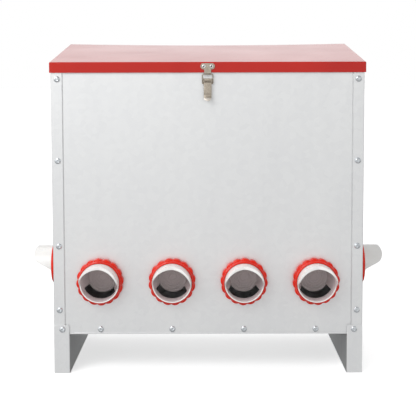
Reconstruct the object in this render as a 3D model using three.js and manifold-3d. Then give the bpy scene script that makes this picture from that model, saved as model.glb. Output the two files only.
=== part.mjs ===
// Gravity poultry feeder: a galvanised sheet-steel hopper on two folded leg stands, with a sloped red lid
// hinged at the back, a toggle latch in front and six feeding ports, four in front and one on each side.
// Millimetres, +Z up, the front faces -Y. The body is drawn round its own middle, and the group's position
// then puts the origin on the floor under the middle of the whole object.
import * as THREE from "three";
import { mergeVertices } from "three/addons/utils/BufferGeometryUtils.js";
import Module from "manifold-3d";

const wasm = await Module();
wasm.setup();

// ---------- driving dimensions ----------
const seam = 0.3; // gap kept between neighbouring pieces

const bodyWidth = 540; // over the side panels
const bodyDepth = 264; // over the front and back panels
const frontHeight = 544; // floor to the lid's top at its front edge
const lidRise = 40; // how much higher the lid is at the back
const legHeight = 69; // floor to the underside of the hopper

const panelSheet = 1; // front, back, side and bottom sheets
const sideFold = 19; // width of a side panel's folds, which lap over the front and back panels
const legSheet = 1.2;
const legFlange = 27.5; // width of a leg stand's front and back flanges
const legLap = 17; // how far those flanges lap up over the folds
const panFlange = 18; // upturned edge of the bottom pan
const rimFlange = 12; // folded-in top edge of the panels

const lidSheet = 1;
const lidClearance = 1.5; // between the lid's skirt and the side panels
const lidSkirt = 18;
const lidSag = 3; // dip of the lid's back edge halfway along
const rimClearance = 0.8; // between the lid's underside and the panels' rims

const portInset = 81.9; // the end ports' axes from the body's sides
const portHeight = 163; // floor to the port axes
const sidePortShift = 6; // side port's axis behind the body's middle
const sidePortRise = 6; // and above the front ports' axes
const portRadius = 34.3; // outside of the port's tube
const portWall = 1.9;
const portHood = 53.6; // reach of the hood in front of the panel
const portLip = 22.5; // reach of the tube's lower half
const portShoulder = 4.6; // where the tube starts to narrow behind the panel
const portTail = 39; // reach of the closed end behind the panel
const portTaper = 7.9; // how much smaller the closed end's radius is
const portFlangeWidth = 7.7; // inside flange, out from the tube
const portFlangeThick = 2.5;
const portHoleClearance = 1;
const feedSlot = { from: 5.6, to: 36, halfAngle: 49 }; // window in the narrowing part's underside
const portTurns = [-6, -5, 0, 1, 0, 0]; // degrees each port was left turned: four front, right, left

const nutWall = 6.7; // from the tube to the tips of the nut's lobes
const nutLobes = 16;
const nutLobeDepth = 2.2;
const nutThick = 21;
const nutClearance = 0.5; // between the nut's bore and the tube

const screwHeadRadius = 5;
const screwHeadHeight = 3;
const screwShankRadius = 2.4;
const screwHoleClearance = 0.4;
const screwLength = 11; // below the head
const foldScrewBottom = 43; // lowest fold screw above the hopper's underside
const foldScrewTop = 29; // highest fold screw below the lid's front edge
const foldScrewSteps = [0, 0.28, 0.65, 1]; // each one's way up between those two
const foldScrewInset = 10.5; // from the body's side
const legScrewInset = 15;
const edgeScrewRise = 9; // bottom row above the hopper's underside

const hingeSpread = 150; // each hinge's middle from the body's middle
const hingeWidth = 50;
const hingeSheet = 1;
const knuckleRadius = 2.8;
const hingePinRadius = 1.2;
const hingePinClearance = 0.3;
const lidLeafHeight = 13;
const bodyLeafHeight = 34;
const hingeJog = 6; // drop of the body leaf before and during its bend back to the panel

const latchWidth = 13; // lever's width
const latchSheet = 1;
const latchPivotBelowSkirt = 15;
const latchPivotReach = 5.5; // lever's pivot in front of the panel
const latchCrank = { inward: 0.9, down: 4.5 }; // bail's pivot from the lever's pivot, lever closed
const latchPinRadius = 1.2;
const bailWire = 0.9; // radius
const bailClearance = 0.3; // between the bail's legs and the base's ears
const leverDrop = 33.5; // pivot to the tip of the lever
const latchTongue = 5.2; // half the width of the base plate under the lever
const catchHookDrop = 1.6; // hook's underside below the lid's skirt

// ---------- places worked out from them ----------
const halfWidth = bodyWidth / 2;
const panelX = halfWidth - panelSheet - seam; // side edge of the front and back panels
const frontY = -bodyDepth / 2;
const backY = bodyDepth / 2;
const floorZ = legHeight; // underside of the hopper
const foldOut = seam + panelSheet; // a fold's face in front of the panel it laps over
const legOut = foldOut + seam + legSheet;
const lidInnerX = halfWidth + lidClearance;
const lidOuterX = lidInnerX + lidSheet;
const lidOut = foldOut + lidClearance + lidSheet; // lid skirt's face in front of a panel
const lidFrontY = frontY - lidOut;
const lidBackY = backY + lidOut;
const slope = lidRise / (lidBackY - lidFrontY);
const screwHoleRadius = screwShankRadius + screwHoleClearance;
const portHoleRadius = portRadius + portHoleClearance;
const portTailRadius = portRadius - portTaper;
const portFlangeRadius = portRadius + portFlangeWidth;
const portPitch = (bodyWidth - 2 * portInset) / 3; // between neighbouring front ports
const nutRadius = portRadius + nutWall;
const foldScrewHeights = foldScrewSteps.map((step) => {
  const lowest = floorZ + foldScrewBottom;
  return lowest + step * (frontHeight - foldScrewTop - lowest);
});
const hingeY = backY + lidOut + seam + knuckleRadius;
const hingeZ = lidTopPlane(lidBackY) - lidSkirt - 0.5;
const hingeReach = hingeY + knuckleRadius - backY;
const latchZ = frontHeight - lidSkirt - latchPivotBelowSkirt;

function lidTopPlane(y) {
  return frontHeight + slope * (y - lidFrontY);
}

// The lid's top: a sloped plane that dips towards the middle of its back edge.
function lidTop(x, y) {
  const across = 1 - (x / lidOuterX) ** 2;
  const along = (y - lidFrontY) / (lidBackY - lidFrontY);
  return lidTopPlane(y) - lidSag * Math.max(0, across) * along ** 2;
}

function rimHeight(x, y) {
  return lidTop(x, y) - lidSheet - rimClearance;
}

// ---------- materials ----------
const galvanised = new THREE.MeshStandardMaterial({ color: 0xd3d4d3, roughness: 0.42, metalness: 0.85 });
const redPaint = new THREE.MeshStandardMaterial({ color: 0xb92a1c, roughness: 0.25, metalness: 0 });
const whitePlastic = new THREE.MeshStandardMaterial({ color: 0xf1f0ee, roughness: 0.3, metalness: 0 });
const redPlastic = new THREE.MeshStandardMaterial({ color: 0xdb2a1a, roughness: 0.35, metalness: 0 });
const zincPlate = new THREE.MeshStandardMaterial({ color: 0xc9d0d3, roughness: 0.3, metalness: 1 });
const platedSteel = new THREE.MeshStandardMaterial({ color: 0xb3aca0, roughness: 0.3, metalness: 1 });

// ---------- solid helpers ----------
function solidOf(geometry) {
  const bare = new THREE.BufferGeometry();
  bare.setAttribute("position", geometry.getAttribute("position").clone());
  if (geometry.index) bare.setIndex(geometry.index.clone());
  const merged = mergeVertices(bare, 1e-4);
  return new wasm.Manifold(
    new wasm.Mesh({
      numProp: 3,
      vertProperties: new Float32Array(merged.attributes.position.array),
      triVerts: new Uint32Array(merged.index.array),
    }),
  );
}

function geometryOf(solid) {
  const mesh = solid.getMesh();
  const geometry = new THREE.BufferGeometry();
  geometry.setAttribute("position", new THREE.BufferAttribute(new Float32Array(mesh.vertProperties), 3));
  geometry.setIndex(new THREE.BufferAttribute(new Uint32Array(mesh.triVerts), 1));
  geometry.computeVertexNormals();
  return geometry;
}

function join(...geometries) {
  return geometryOf(geometries.map(solidOf).reduce((whole, next) => whole.add(next)));
}

function cut(body, ...tools) {
  return geometryOf(tools.map(solidOf).reduce((whole, next) => whole.subtract(next), solidOf(body)));
}

function keep(body, tool) {
  return geometryOf(solidOf(body).intersect(solidOf(tool)));
}

function box(x0, x1, y0, y1, z0, z1) {
  const geometry = new THREE.BoxGeometry(x1 - x0, y1 - y0, z1 - z0);
  return geometry.translate((x0 + x1) / 2, (y0 + y1) / 2, (z0 + z1) / 2);
}

// A round bar along an axis, between two places on that axis, centred on the other two coordinates.
function bar(axis, from, to, a, b, radius, sides = 12) {
  const geometry = new THREE.CylinderGeometry(radius, radius, to - from, sides);
  if (axis === "x") return geometry.rotateZ(-Math.PI / 2).translate((from + to) / 2, a, b);
  if (axis === "y") return geometry.translate(a, (from + to) / 2, b);
  return geometry.rotateX(Math.PI / 2).translate(a, b, (from + to) / 2);
}

function shapeOf(points) {
  return new THREE.Shape(points.map(([a, b]) => new THREE.Vector2(a, b)));
}

// A (y, z) outline extruded along x.
function alongX(outline, x0, x1) {
  const shape = outline instanceof THREE.Shape ? outline : shapeOf(outline);
  const geometry = new THREE.ExtrudeGeometry(shape, { depth: x1 - x0, bevelEnabled: false });
  const turn = new THREE.Matrix4().makeBasis(
    new THREE.Vector3(0, 1, 0),
    new THREE.Vector3(0, 0, 1),
    new THREE.Vector3(1, 0, 0),
  );
  return geometry.applyMatrix4(turn).translate(x0, 0, 0);
}

// An (x, z) outline extruded along y.
function alongY(outline, y0, y1) {
  const shape = outline instanceof THREE.Shape ? outline : shapeOf(outline);
  const geometry = new THREE.ExtrudeGeometry(shape, { depth: y1 - y0, bevelEnabled: false });
  return geometry.rotateX(Math.PI / 2).translate(0, y1, 0);
}

const feeder = new THREE.Group();
feeder.position.y = (portHood - hingeReach) / 2;

function add(name, geometry, material, parent = feeder) {
  const mesh = new THREE.Mesh(geometry, material);
  mesh.name = name;
  parent.add(mesh);
  return mesh;
}

const sides = [
  { name: "left", sign: -1 },
  { name: "right", sign: 1 },
];

// ---------- ports: where they stand ----------
const sidePortZ = portHeight + sidePortRise;
const frontPortX = [-1.5, -0.5, 0.5, 1.5].map((steps) => steps * portPitch);
const ports = [
  ...frontPortX.map((x, i) => ({ name: `front_port_${i + 1}`, x, y: frontY, z: portHeight, heading: 0 })),
  { name: "right_port", x: halfWidth, y: sidePortShift, z: sidePortZ, heading: Math.PI / 2 },
  { name: "left_port", x: -halfWidth, y: sidePortShift, z: sidePortZ, heading: -Math.PI / 2 },
];
ports.forEach((port, i) => (port.turn = THREE.MathUtils.degToRad(portTurns[i])));

// ---------- screws: where they stand, `out` being the face they hold in front of the panel ----------
const edgeScrewZ = floorZ + edgeScrewRise;
const cornerScrews = sides.flatMap(({ name, sign }) => [
  ...foldScrewHeights.map((z, i) => ({
    name: `${name}_fold_screw_${i + 1}`,
    x: sign * (halfWidth - foldScrewInset),
    z,
    out: foldOut,
  })),
  { name: `${name}_leg_screw`, x: sign * (halfWidth - legScrewInset), z: edgeScrewZ, out: legOut },
]);
const bottomScrews = frontPortX.map((x, i) => ({
  name: `bottom_screw_${i + 1}`,
  x,
  z: edgeScrewZ,
  out: 0,
}));

// A hole right through the sheets at the front and, for a corner screw, through those at the back too.
function screwHole({ x, z, out }) {
  const front = frontY - legOut - 1;
  const back = out > 0 ? backY + legOut + 1 : frontY + 2 * panelSheet + seam + 1;
  return bar("y", front, back, x, z, screwHoleRadius, 8);
}

// ---------- hopper panels ----------
const rimX = halfWidth - rimFlange - 1; // end of the front and back rims, clear of the side rims

function frontPanel() {
  const top = rimHeight(0, frontY);
  const sheet = join(
    box(-panelX, panelX, frontY, frontY + panelSheet, floorZ, top),
    box(-rimX, rimX, frontY, frontY + rimFlange, top - panelSheet, top),
  );
  const portHoles = frontPortX.map((x) =>
    bar("y", frontY - 1, frontY + panelSheet + 1, x, portHeight, portHoleRadius, 28),
  );
  return cut(sheet, ...portHoles, ...[...cornerScrews, ...bottomScrews].map(screwHole));
}

function backPanel() {
  const top = rimHeight(0, backY - rimFlange);
  const sheet = join(
    box(-panelX, panelX, backY - panelSheet, backY, floorZ, top),
    box(-rimX, rimX, backY - rimFlange, backY, top - panelSheet, top),
  );
  return cut(sheet, ...cornerScrews.map(screwHole));
}

// A side wall, folded round the front and back panels and folded in along its sloped top.
function sidePanel(sign) {
  const inside = { front: frontY - seam, back: backY + seam };
  const outside = { front: frontY - foldOut, back: backY + foldOut };
  const foldX = halfWidth - sideFold;
  const wallTop = (y) => rimHeight(halfWidth - rimFlange, y);
  const block = alongX(
    [
      [outside.front, floorZ],
      [outside.back, floorZ],
      [outside.back, wallTop(outside.back)],
      [outside.front, wallTop(outside.front)],
    ],
    foldX,
    halfWidth,
  );
  const above = frontHeight + 2 * lidRise;
  const hollow = box(foldX - 1, halfWidth - panelSheet, inside.front, inside.back, floorZ - 1, above);
  const rimY = [frontY + panelSheet + seam, backY - panelSheet - seam];
  const rim = alongX(
    [
      [rimY[0], wallTop(rimY[0]) - panelSheet],
      [rimY[1], wallTop(rimY[1]) - panelSheet],
      [rimY[1], wallTop(rimY[1])],
      [rimY[0], wallTop(rimY[0])],
    ],
    halfWidth - rimFlange,
    halfWidth,
  );
  const portHole = bar("x", foldX - 1, halfWidth + 1, sidePortShift, sidePortZ, portHoleRadius, 28);
  const holes = cornerScrews.filter(({ x }) => x > 0).map(screwHole);
  return mirrored(cut(join(cut(block, hollow), rim), portHole, ...holes), sign);
}

// The same geometry, or its mirror image for the left side with the faces turned to point out again.
function mirrored(geometry, sign) {
  if (sign > 0) return geometry;
  geometry.scale(-1, 1, 1);
  const corners = geometry.index.array;
  for (let i = 0; i < corners.length; i += 3) {
    [corners[i], corners[i + 1]] = [corners[i + 1], corners[i]];
  }
  geometry.computeVertexNormals();
  return geometry;
}

function bottomPan() {
  const edgeX = panelX - seam;
  const edgeY = -frontY - panelSheet - seam;
  const wallX = edgeX - panelSheet;
  const wallY = edgeY - panelSheet;
  const outside = box(-edgeX, edgeX, -edgeY, edgeY, floorZ, floorZ + panFlange);
  const inside = box(-wallX, wallX, -wallY, wallY, floorZ + panelSheet, floorZ + panFlange + 1);
  const legScrews = cornerScrews.filter(({ z }) => z === edgeScrewZ);
  return cut(outside, inside, ...[...legScrews, ...bottomScrews].map(screwHole));
}

// ---------- leg stands ----------
function legStand(sign) {
  const webX = halfWidth - legFlange;
  const faceY = [frontY - legOut, backY + legOut];
  const flangeTop = floorZ + legLap;
  const stand = join(
    box(webX, webX + legSheet, faceY[0], faceY[1], 0, floorZ - seam),
    box(webX, halfWidth, faceY[0], faceY[0] + legSheet, 0, flangeTop),
    box(webX, halfWidth, faceY[1] - legSheet, faceY[1], 0, flangeTop),
  );
  const hole = screwHole({ x: halfWidth - legScrewInset, z: edgeScrewZ, out: legOut });
  return mirrored(cut(stand, hole), sign);
}

// ---------- lid ----------
// A block whose top follows the lid's shape, set down by a depth, and whose underside follows the slope.
function lidBlock(halfX, y0, y1, topDrop, underside) {
  const geometry = new THREE.BoxGeometry(2 * halfX, y1 - y0, 1, 8, 4, 1).translate(0, (y0 + y1) / 2, 0);
  const place = geometry.attributes.position;
  for (let i = 0; i < place.count; i++) {
    const x = place.getX(i);
    const y = place.getY(i);
    place.setZ(i, place.getZ(i) > 0 ? lidTop(x, y) - topDrop : underside(y));
  }
  return geometry;
}

function lid() {
  const skirtBottom = (y) => lidTopPlane(y) - lidSkirt;
  const outside = lidBlock(lidOuterX, lidFrontY, lidBackY, 0, skirtBottom);
  const inside = lidBlock(
    lidInnerX,
    lidFrontY + lidSheet,
    lidBackY - lidSheet,
    lidSheet,
    (y) => skirtBottom(y) - 5,
  );
  const rivetHoles = catchRivetX.map((x) =>
    bar("y", lidFrontY - 1, lidFrontY + lidSheet + 1, x, catchRivetZ, rivetShankRadius + 0.4, 10),
  );
  return cut(outside, inside, ...rivetHoles);
}

// ---------- hinges ----------
const knuckleThird = (hingeWidth - 2 * seam) / 3;

function knuckle(x0, x1) {
  return bar("x", x0, x1, hingeY, hingeZ, knuckleRadius, 14);
}

function pinHole(middle) {
  const half = hingeWidth / 2 + 1;
  return bar("x", middle - half, middle + half, hingeY, hingeZ, hingePinRadius + hingePinClearance, 12);
}

function hingeBodyLeaf(middle) {
  const outerY = hingeY - knuckleRadius; // inner face of the strap under the knuckles
  const panelFace = backY + seam;
  const top = hingeZ - knuckleRadius - seam;
  const strap = [
    [outerY, top],
    [outerY, top - hingeJog],
    [panelFace, top - 2 * hingeJog],
    [panelFace, hingeZ - bodyLeafHeight],
    [panelFace + hingeSheet, hingeZ - bodyLeafHeight],
    [panelFace + hingeSheet, top - 2 * hingeJog + 0.4],
    [outerY + hingeSheet, top - hingeJog + 0.4],
    [outerY + hingeSheet, top],
  ].reverse();
  const x0 = middle - hingeWidth / 2;
  const x1 = middle + hingeWidth / 2;
  const neck = (a, b) => box(a, b, outerY, outerY + hingeSheet, top - 1, hingeZ);
  const leaf = join(
    alongX(strap, x0, x1),
    knuckle(x0, x0 + knuckleThird),
    neck(x0, x0 + knuckleThird),
    knuckle(x1 - knuckleThird, x1),
    neck(x1 - knuckleThird, x1),
  );
  return cut(leaf, pinHole(middle));
}

function hingeLidLeaf(middle) {
  const y0 = hingeY - knuckleRadius;
  const x0 = middle - knuckleThird / 2;
  const x1 = middle + knuckleThird / 2;
  const bottom = hingeZ + knuckleRadius + seam;
  const half = hingeWidth / 2;
  const leaf = join(
    box(middle - half, middle + half, y0, y0 + hingeSheet, bottom, hingeZ + lidLeafHeight),
    box(x0, x1, y0, y0 + hingeSheet, hingeZ, bottom + 1),
    knuckle(x0, x1),
  );
  return cut(leaf, pinHole(middle));
}

function hingePin(middle) {
  const half = hingeWidth / 2 + seam;
  const head = 1.2;
  return join(
    bar("x", middle - half - head, middle + half + head, hingeY, hingeZ, hingePinRadius, 12),
    bar("x", middle - half - head, middle - half, hingeY, hingeZ, hingePinRadius + 0.8, 12),
    bar("x", middle + half, middle + half + head, hingeY, hingeZ, hingePinRadius + 0.8, 12),
  );
}

// ---------- toggle latch, drawn with `out` counted forwards from the front panel ----------
const catchRivetX = [-6.4, 6.4];
const catchRivetZ = frontHeight - 7.3;
const rivetShankRadius = 1.4;
const latchHalf = latchWidth / 2;
const earInside = latchHalf + 0.4;
const bailSpread = earInside + latchSheet + bailClearance + bailWire; // each leg from the middle
const bailPivotOut = latchPivotReach - latchCrank.inward;
const bailPivotZ = latchZ - latchCrank.down;
const hookBottom = frontHeight - lidSkirt - catchHookDrop;
const catchOut = lidOut + seam; // catch plate's inner face
const hookReach = 3.9; // hook's lip in front of the catch plate's face
const bailBarOut = catchOut + latchSheet + hookReach / 2 - 0.2;
const bailBarZ = hookBottom - bailWire - 0.4;
const latchHoleRadius = latchPinRadius + 0.3;

// (out, z) outlines of the latch turned into (y, z).
function latchOutline(points) {
  return points.map(([out, z]) => [frontY - out, z]);
}

function latchBase() {
  const earOutside = earInside + latchSheet;
  const earReach = 3;
  const plateY = [frontY - seam - latchSheet, frontY - seam];
  const yoke = box(-earOutside, earOutside, ...plateY, latchZ - earReach - 1, latchZ + earReach + 2);
  const tongue = box(-latchTongue, latchTongue, ...plateY, latchZ - leverDrop + 9, latchZ);
  const ear = (sign) => {
    const [x0, x1] = [sign * earInside, sign * earOutside].sort((a, b) => a - b);
    return [
      box(x0, x1, frontY - latchPivotReach, frontY - seam, latchZ - earReach, latchZ + earReach),
      bar("x", x0, x1, frontY - latchPivotReach, latchZ, earReach, 14),
    ];
  };
  const holeEnd = earOutside + 1;
  const hole = bar("x", -holeEnd, holeEnd, frontY - latchPivotReach, latchZ, latchHoleRadius, 12);
  return cut(join(yoke, tongue, ...ear(-1), ...ear(1)), hole);
}

function latchPin() {
  const half = earInside + latchSheet;
  return bar("x", -half, half, frontY - latchPivotReach, latchZ, latchPinRadius, 12);
}

function latchLever() {
  const front = latchPivotReach + 2.6; // inner face of the strap
  const tipZ = latchZ - leverDrop;
  const strap = latchOutline([
    [front, latchZ + 1.6],
    [front, tipZ + 9],
    [front + 3.4, tipZ + 0.6],
    [front + 4.2, tipZ],
    [front + 4.6, tipZ + 1],
    [front + latchSheet, tipZ + 9.4],
    [front + latchSheet, latchZ + 1.6],
  ]);
  const cheek = latchOutline([
    [latchPivotReach - 2.5, latchZ + 2.3],
    [front + 0.5, latchZ + 1.6],
    [front + 0.5, latchZ - 12],
    [latchPivotReach - 1.6, latchZ - 6.8],
    [latchPivotReach - 2.7, latchZ - 5.6],
  ]);
  const lever = join(
    alongX(strap, -latchHalf, latchHalf),
    alongX(cheek, -latchHalf, -latchHalf + latchSheet),
    alongX(cheek, latchHalf - latchSheet, latchHalf),
  );
  return cut(
    lever,
    bar("x", -latchWidth, latchWidth, frontY - latchPivotReach, latchZ, latchHoleRadius, 12),
    bar("x", -latchWidth, latchWidth, frontY - bailPivotOut, bailPivotZ, bailWire + 0.35, 12),
  );
}

// The wire bail: in from one cheek of the lever, up, across the hook and down to the other cheek.
function latchBail() {
  const corner = 2;
  const lean = new THREE.Vector2(bailBarOut - bailPivotOut, bailBarZ - bailPivotZ);
  const at = (x, share) =>
    new THREE.Vector3(x, frontY - (bailPivotOut + lean.x * share), bailPivotZ + lean.y * share);
  const bend = corner / lean.length();
  const endX = latchHalf - latchSheet - 0.6;
  const path = new THREE.CurvePath();
  const bends = [
    { before: at(-bailSpread + corner, 0), point: at(-bailSpread, 0), after: at(-bailSpread, bend) },
    { before: at(-bailSpread, 1 - bend), point: at(-bailSpread, 1), after: at(-bailSpread + corner, 1) },
    { before: at(bailSpread - corner, 1), point: at(bailSpread, 1), after: at(bailSpread, 1 - bend) },
    { before: at(bailSpread, bend), point: at(bailSpread, 0), after: at(bailSpread - corner, 0) },
  ];
  let last = at(-endX, 0);
  bends.forEach(({ before, point, after }) => {
    path.add(new THREE.LineCurve3(last, before));
    path.add(new THREE.QuadraticBezierCurve3(before, point, after));
    last = after;
  });
  path.add(new THREE.LineCurve3(last, at(endX, 0)));
  const section = new THREE.Shape().absarc(0, 0, bailWire, 0, 2 * Math.PI);
  return new THREE.ExtrudeGeometry(section, { steps: 40, curveSegments: 3, extrudePath: path });
}

// The catch on the lid: a two-eared plate whose foot is folded out and up into a hook.
function latchCatch() {
  const earRadius = 5.4;
  const neck = 5.9;
  const foot = hookBottom;
  const ears = catchRivetX.map((x) =>
    bar("y", lidFrontY - seam - latchSheet, lidFrontY - seam, x * 1.09, catchRivetZ, earRadius, 20),
  );
  const plate = alongY(
    [
      [-neck, foot],
      [neck, foot],
      [neck, catchRivetZ - 5],
      [neck + 2, catchRivetZ],
      [4, frontHeight - 2],
      [-4, frontHeight - 2],
      [-neck - 2, catchRivetZ],
      [-neck, catchRivetZ - 5],
    ],
    lidFrontY - seam - latchSheet,
    lidFrontY - seam,
  );
  const face = lidFrontY - seam;
  const hookOut = latchSheet + hookReach;
  const hook = [
    [face, foot],
    [face, foot + latchSheet],
    [face - hookOut + latchSheet, foot + latchSheet],
    [face - hookOut + latchSheet, foot + 3.6],
    [face - hookOut, foot + 3.6],
    [face - hookOut, foot],
  ];
  const holeRadius = rivetShankRadius + 0.4;
  const holes = catchRivetX.map((x) => bar("y", face - 3, face + 1, x, catchRivetZ, holeRadius, 10));
  return cut(join(plate, ...ears, alongX(hook, -neck, neck)), ...holes);
}

function catchRivet(x) {
  const face = lidFrontY - seam - latchSheet - seam;
  const back = lidFrontY + lidSheet + seam;
  return join(
    bar("y", face - 1.2, face, x, catchRivetZ, 2.9, 16),
    bar("y", face - 0.5, back + 1, x, catchRivetZ, rivetShankRadius, 12),
    bar("y", back, back + 1, x, catchRivetZ, 2.4, 12),
  );
}

// ---------- feeding ports, drawn with +Z out of the panel and +Y up ----------
function portBody() {
  const inner = portRadius - portWall;
  const flangeBack = -panelSheet - seam - portFlangeThick;
  const profile = [
    [0, -portTail],
    [portTailRadius, -portTail],
    [portRadius, -portShoulder],
    [portRadius, flangeBack],
    [portFlangeRadius, flangeBack],
    [portFlangeRadius, flangeBack + portFlangeThick],
    [portRadius, flangeBack + portFlangeThick],
    [portRadius, portHood],
    [inner, portHood],
    [inner, -portShoulder],
    [portTailRadius - portWall, -portTail + portWall],
    [0, -portTail + portWall],
  ];
  const lathe = new THREE.LatheGeometry(
    profile.map(([r, z]) => new THREE.Vector2(r, z)),
    24,
  ).rotateX(Math.PI / 2);
  return cut(lathe, mouthCutter(), feedSlotCutter());
}

// Everything in front of the mouth's edge, whose upper half stands out as a hood over the lower half.
function mouthCutter() {
  const far = portRadius + 5;
  const outline = new THREE.Shape();
  outline.moveTo(portLip, -far);
  outline.lineTo(portLip, -9);
  outline.quadraticCurveTo(portLip, -5, portLip + 5, -4);
  outline.lineTo(portHood - 14, 0);
  outline.quadraticCurveTo(portHood, 4, portHood, portRadius * 0.6);
  outline.quadraticCurveTo(portHood, portRadius - 1, portHood - 3, portRadius + 1);
  outline.lineTo(portHood - 3, far);
  outline.lineTo(portHood + 10, far);
  outline.lineTo(portHood + 10, -far);
  const geometry = new THREE.ExtrudeGeometry(outline, {
    depth: 2 * far,
    bevelEnabled: false,
    curveSegments: 5,
  });
  // Drawn as (out, up): out becomes +Z, up stays +Y, and the extrusion runs across the port.
  const turn = new THREE.Matrix4().makeBasis(
    new THREE.Vector3(0, 0, 1),
    new THREE.Vector3(0, 1, 0),
    new THREE.Vector3(-1, 0, 0),
  );
  return geometry.applyMatrix4(turn).translate(far, 0, 0);
}

// A wedge below the axis that opens the tube's underside between two depths behind the panel.
function feedSlotCutter() {
  const half = THREE.MathUtils.degToRad(feedSlot.halfAngle);
  const near = portTailRadius - portWall;
  const far = portRadius * 1.2;
  const wedge = new THREE.Shape();
  wedge.absarc(0, 0, far, -Math.PI / 2 - half, -Math.PI / 2 + half, false);
  wedge.absarc(0, 0, near, -Math.PI / 2 + half, -Math.PI / 2 - half, true);
  const geometry = new THREE.ExtrudeGeometry(wedge, {
    depth: feedSlot.to - feedSlot.from,
    bevelEnabled: false,
    curveSegments: 8,
  });
  return geometry.translate(0, 0, -feedSlot.to);
}

function portNut() {
  const bore = portRadius + nutClearance;
  const points = [];
  const steps = nutLobes * 3;
  for (let i = 0; i < steps; i++) {
    const angle = (2 * Math.PI * i) / steps;
    const radius = nutRadius - (nutLobeDepth * (1 - Math.cos(nutLobes * angle))) / 2;
    points.push([radius * Math.cos(angle), radius * Math.sin(angle)]);
  }
  const lobed = new THREE.ExtrudeGeometry(shapeOf(points), { depth: nutThick * 0.68, bevelEnabled: false });
  const collarRadius = nutRadius - nutLobeDepth - 0.3;
  const collar = new THREE.LatheGeometry(
    [
      [0, 0.5],
      [collarRadius, 0.5],
      [collarRadius, nutThick * 0.78],
      [bore + 1.4, nutThick],
      [0, nutThick],
    ].map(([r, z]) => new THREE.Vector2(r, z)),
    24,
  ).rotateX(Math.PI / 2);
  return cut(join(lobed, collar), bar("z", -1, nutThick + 1, 0, 0, bore, 24)).translate(0, 0, seam);
}

// ---------- screws ----------
// A pan-head screw pointing backwards, the underside of its head just clear of the face it holds.
function panScrew() {
  return join(
    bar("y", -seam - screwHeadHeight, -seam, 0, 0, screwHeadRadius, 12),
    bar("y", -seam - 1, screwLength, 0, 0, screwShankRadius, 8),
  );
}

// ---------- assembly ----------
add("front_panel", frontPanel(), galvanised);
add("back_panel", backPanel(), galvanised);
sides.forEach(({ name, sign }) => {
  add(`${name}_side_panel`, sidePanel(sign), galvanised);
  add(`${name}_leg_stand`, legStand(sign), galvanised);
});
add("bottom_pan", bottomPan(), galvanised);
add("lid", lid(), redPaint);

sides.forEach(({ name, sign }) => {
  add(`${name}_hinge_body_leaf`, hingeBodyLeaf(sign * hingeSpread), zincPlate);
  add(`${name}_hinge_lid_leaf`, hingeLidLeaf(sign * hingeSpread), zincPlate);
  add(`${name}_hinge_pin`, hingePin(sign * hingeSpread), zincPlate);
});

add("latch_base", latchBase(), platedSteel);
add("latch_pin", latchPin(), platedSteel);
add("latch_lever", latchLever(), platedSteel);
add("latch_bail", latchBail(), platedSteel);
add("latch_catch", latchCatch(), platedSteel);
catchRivetX.forEach((x, i) => add(`${sides[i].name}_catch_rivet`, catchRivet(x), zincPlate));

const portShape = portBody();
const nutShape = portNut();
ports.forEach((port) => {
  const stand = new THREE.Group();
  stand.position.set(port.x, port.y, port.z);
  stand.rotation.z = port.heading;
  const facing = new THREE.Group();
  facing.rotation.x = Math.PI / 2;
  stand.add(facing);
  feeder.add(stand);
  add(`${port.name}_body`, portShape, whitePlastic, facing).rotation.z = port.turn;
  add(`${port.name}_nut`, nutShape, redPlastic, facing).rotation.z = port.turn / 2;
});

const screwShape = panScrew();
[...cornerScrews, ...bottomScrews].forEach(({ name, x, z, out }) => {
  add(`front_${name}`, screwShape, zincPlate).position.set(x, frontY - out, z);
});
cornerScrews.forEach(({ name, x, z, out }) => {
  const screw = add(`back_${name}`, screwShape, zincPlate);
  screw.position.set(x, backY + out, z);
  screw.rotation.z = Math.PI;
});

export default feeder;
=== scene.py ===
import math
import bmesh
import bpy
from mathutils import Matrix, Vector


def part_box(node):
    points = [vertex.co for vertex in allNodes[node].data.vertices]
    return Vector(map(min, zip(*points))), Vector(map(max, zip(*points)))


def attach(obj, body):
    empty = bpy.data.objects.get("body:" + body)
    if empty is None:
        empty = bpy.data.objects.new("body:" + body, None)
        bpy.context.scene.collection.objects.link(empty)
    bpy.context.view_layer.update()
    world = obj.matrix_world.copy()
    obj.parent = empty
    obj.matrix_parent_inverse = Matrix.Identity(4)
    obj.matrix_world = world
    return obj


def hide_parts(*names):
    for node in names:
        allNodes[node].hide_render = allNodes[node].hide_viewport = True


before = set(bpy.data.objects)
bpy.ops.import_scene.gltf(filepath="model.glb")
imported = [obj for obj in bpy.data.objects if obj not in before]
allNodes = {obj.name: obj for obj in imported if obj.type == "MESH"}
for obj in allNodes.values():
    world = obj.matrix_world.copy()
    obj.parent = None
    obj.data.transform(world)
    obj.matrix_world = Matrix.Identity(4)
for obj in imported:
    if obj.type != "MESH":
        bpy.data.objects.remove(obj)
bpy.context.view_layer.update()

mm = 0.001

# Faces of the hopper that the other pieces are set out from, in metres.
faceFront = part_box("front_panel")[0].y
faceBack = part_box("back_panel")[1].y
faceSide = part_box("right_side_panel")[1].x
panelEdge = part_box("front_panel")[1].x
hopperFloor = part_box("front_panel")[0].z


def linear(code):  # sRGB hex to linear colour
    parts = [int(code[i : i + 2], 16) / 255 for i in (1, 3, 5)]
    return [p / 12.92 if p <= 0.04045 else ((p + 0.055) / 1.055) ** 2.4 for p in parts] + [1.0]


def addNode(tree, kind, settings=None, **sockets):
    node = tree.nodes.new(kind)
    for name, value in (settings or {}).items():
        setattr(node, name, value)
    for name, value in sockets.items():
        socket = node.inputs[int(name[1:])] if name[0] == "_" and name[1:].isdigit() else node.inputs[name]
        if isinstance(value, bpy.types.NodeSocket):
            tree.links.new(value, socket)
        else:
            socket.default_value = value
    return node


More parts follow.
